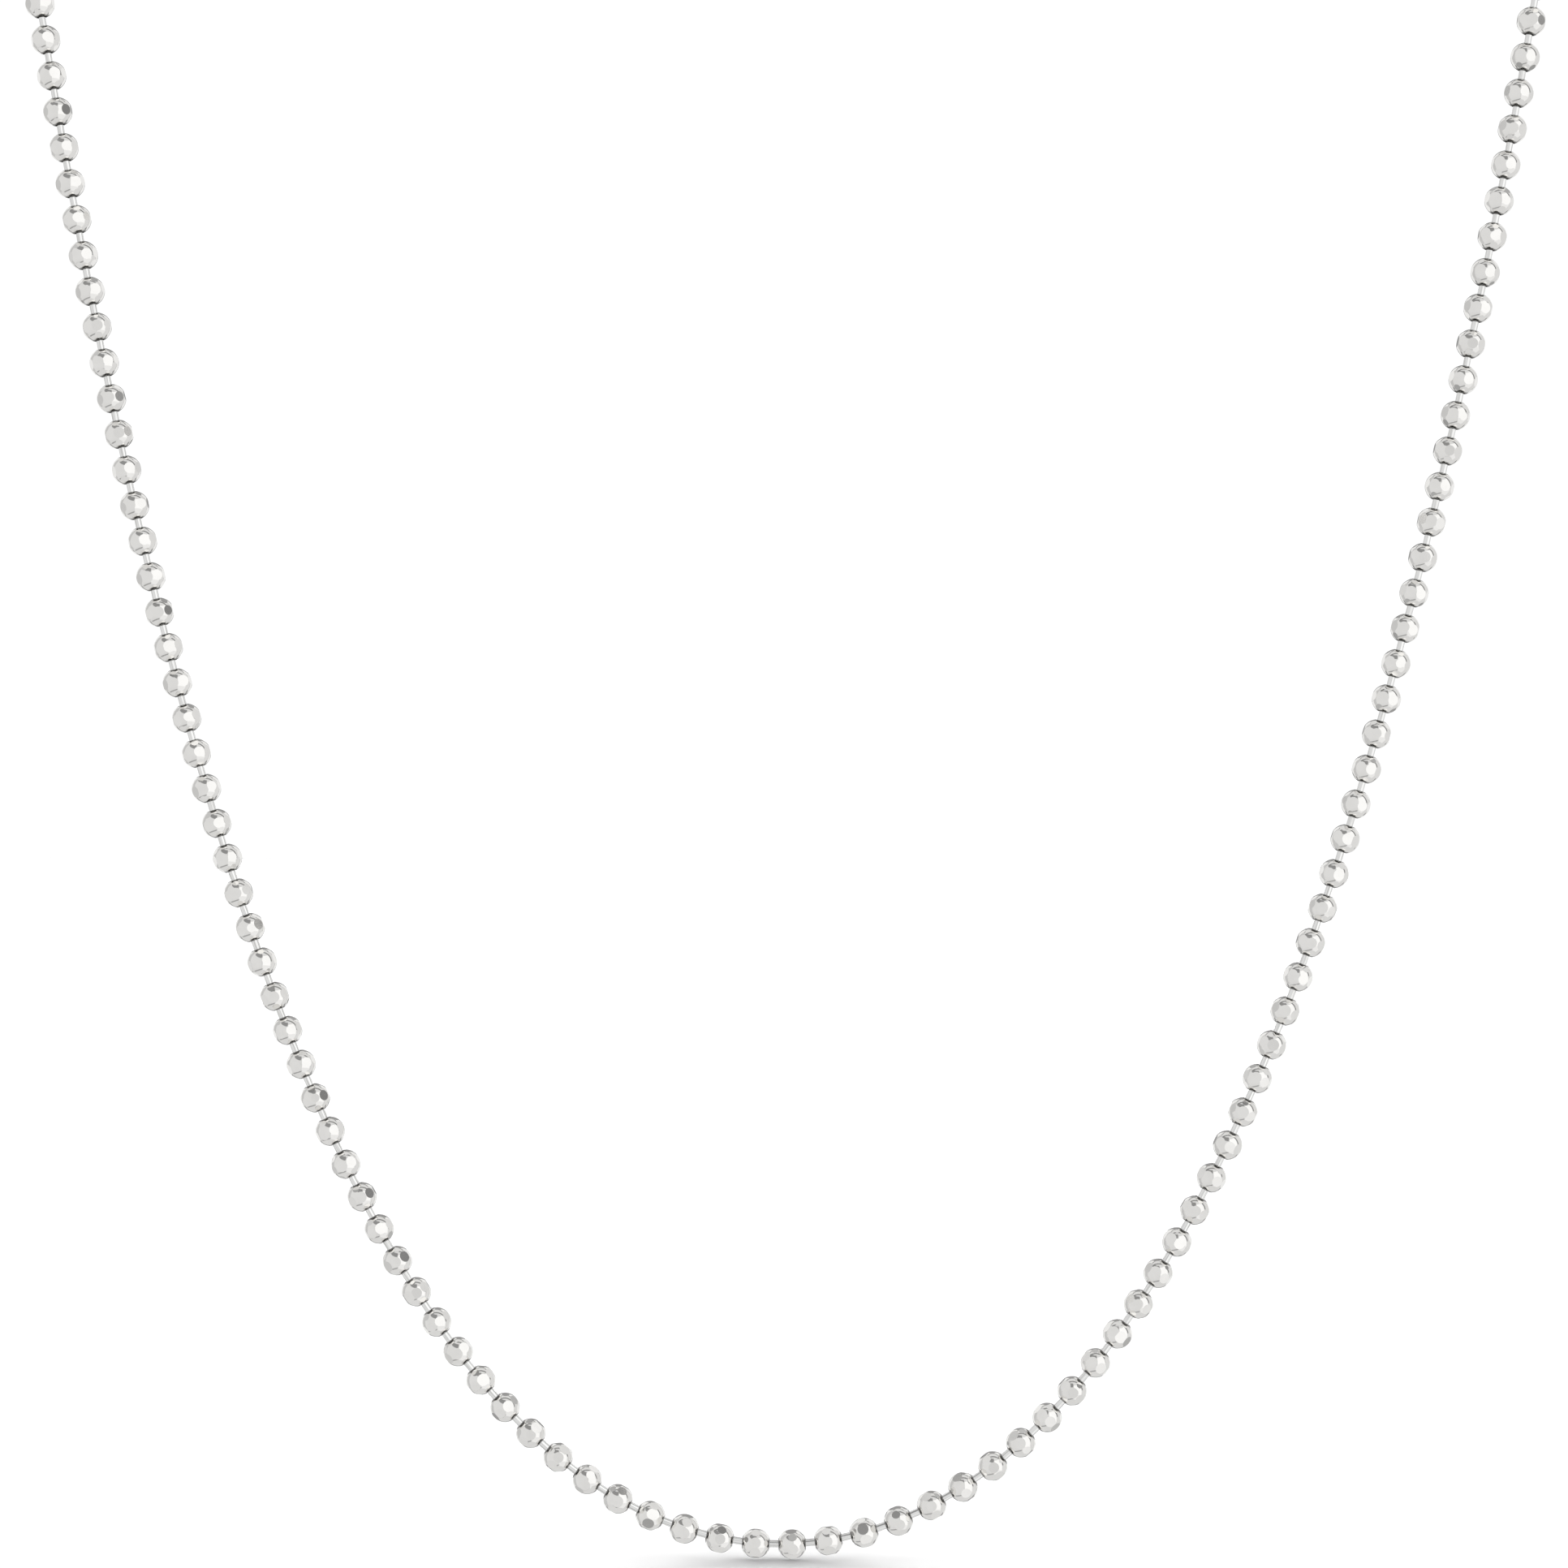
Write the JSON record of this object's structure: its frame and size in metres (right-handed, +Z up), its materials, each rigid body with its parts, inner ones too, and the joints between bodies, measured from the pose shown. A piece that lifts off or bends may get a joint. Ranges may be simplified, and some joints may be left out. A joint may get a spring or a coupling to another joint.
{
  "type": "ball chain necklace",
  "caption": "Ball chain necklace: hollow round beads with flat polished facets, held in a row by short pins, in a whole loop that hangs from the nape in a deep drape.",
  "frame": {"origin": "at the nape, in the middle of the coupling's inner face, where the chain rests on the back of the neck", "axes": "+Z up, -Y towards the front of the wearer, +X to the wearer's left; the drape hangs in an upright plane parallel to XZ"},
  "size_m": [0.1319, 0.0466, 0.1602],
  "materials": {
    "bead_silver": "bright sterling silver, machine polished, with flat mirror facets",
    "pin_silver": "sterling silver wire, polished, a little duller than the beads",
    "coupling_silver": "sterling silver, pressed and polished"
  },
  "bodies": {
    "root": {"beads_right": "bead_silver", "beads_left": "bead_silver", "link_pins": "pin_silver", "coupling": "coupling_silver"}
  },
  "joints": []
}
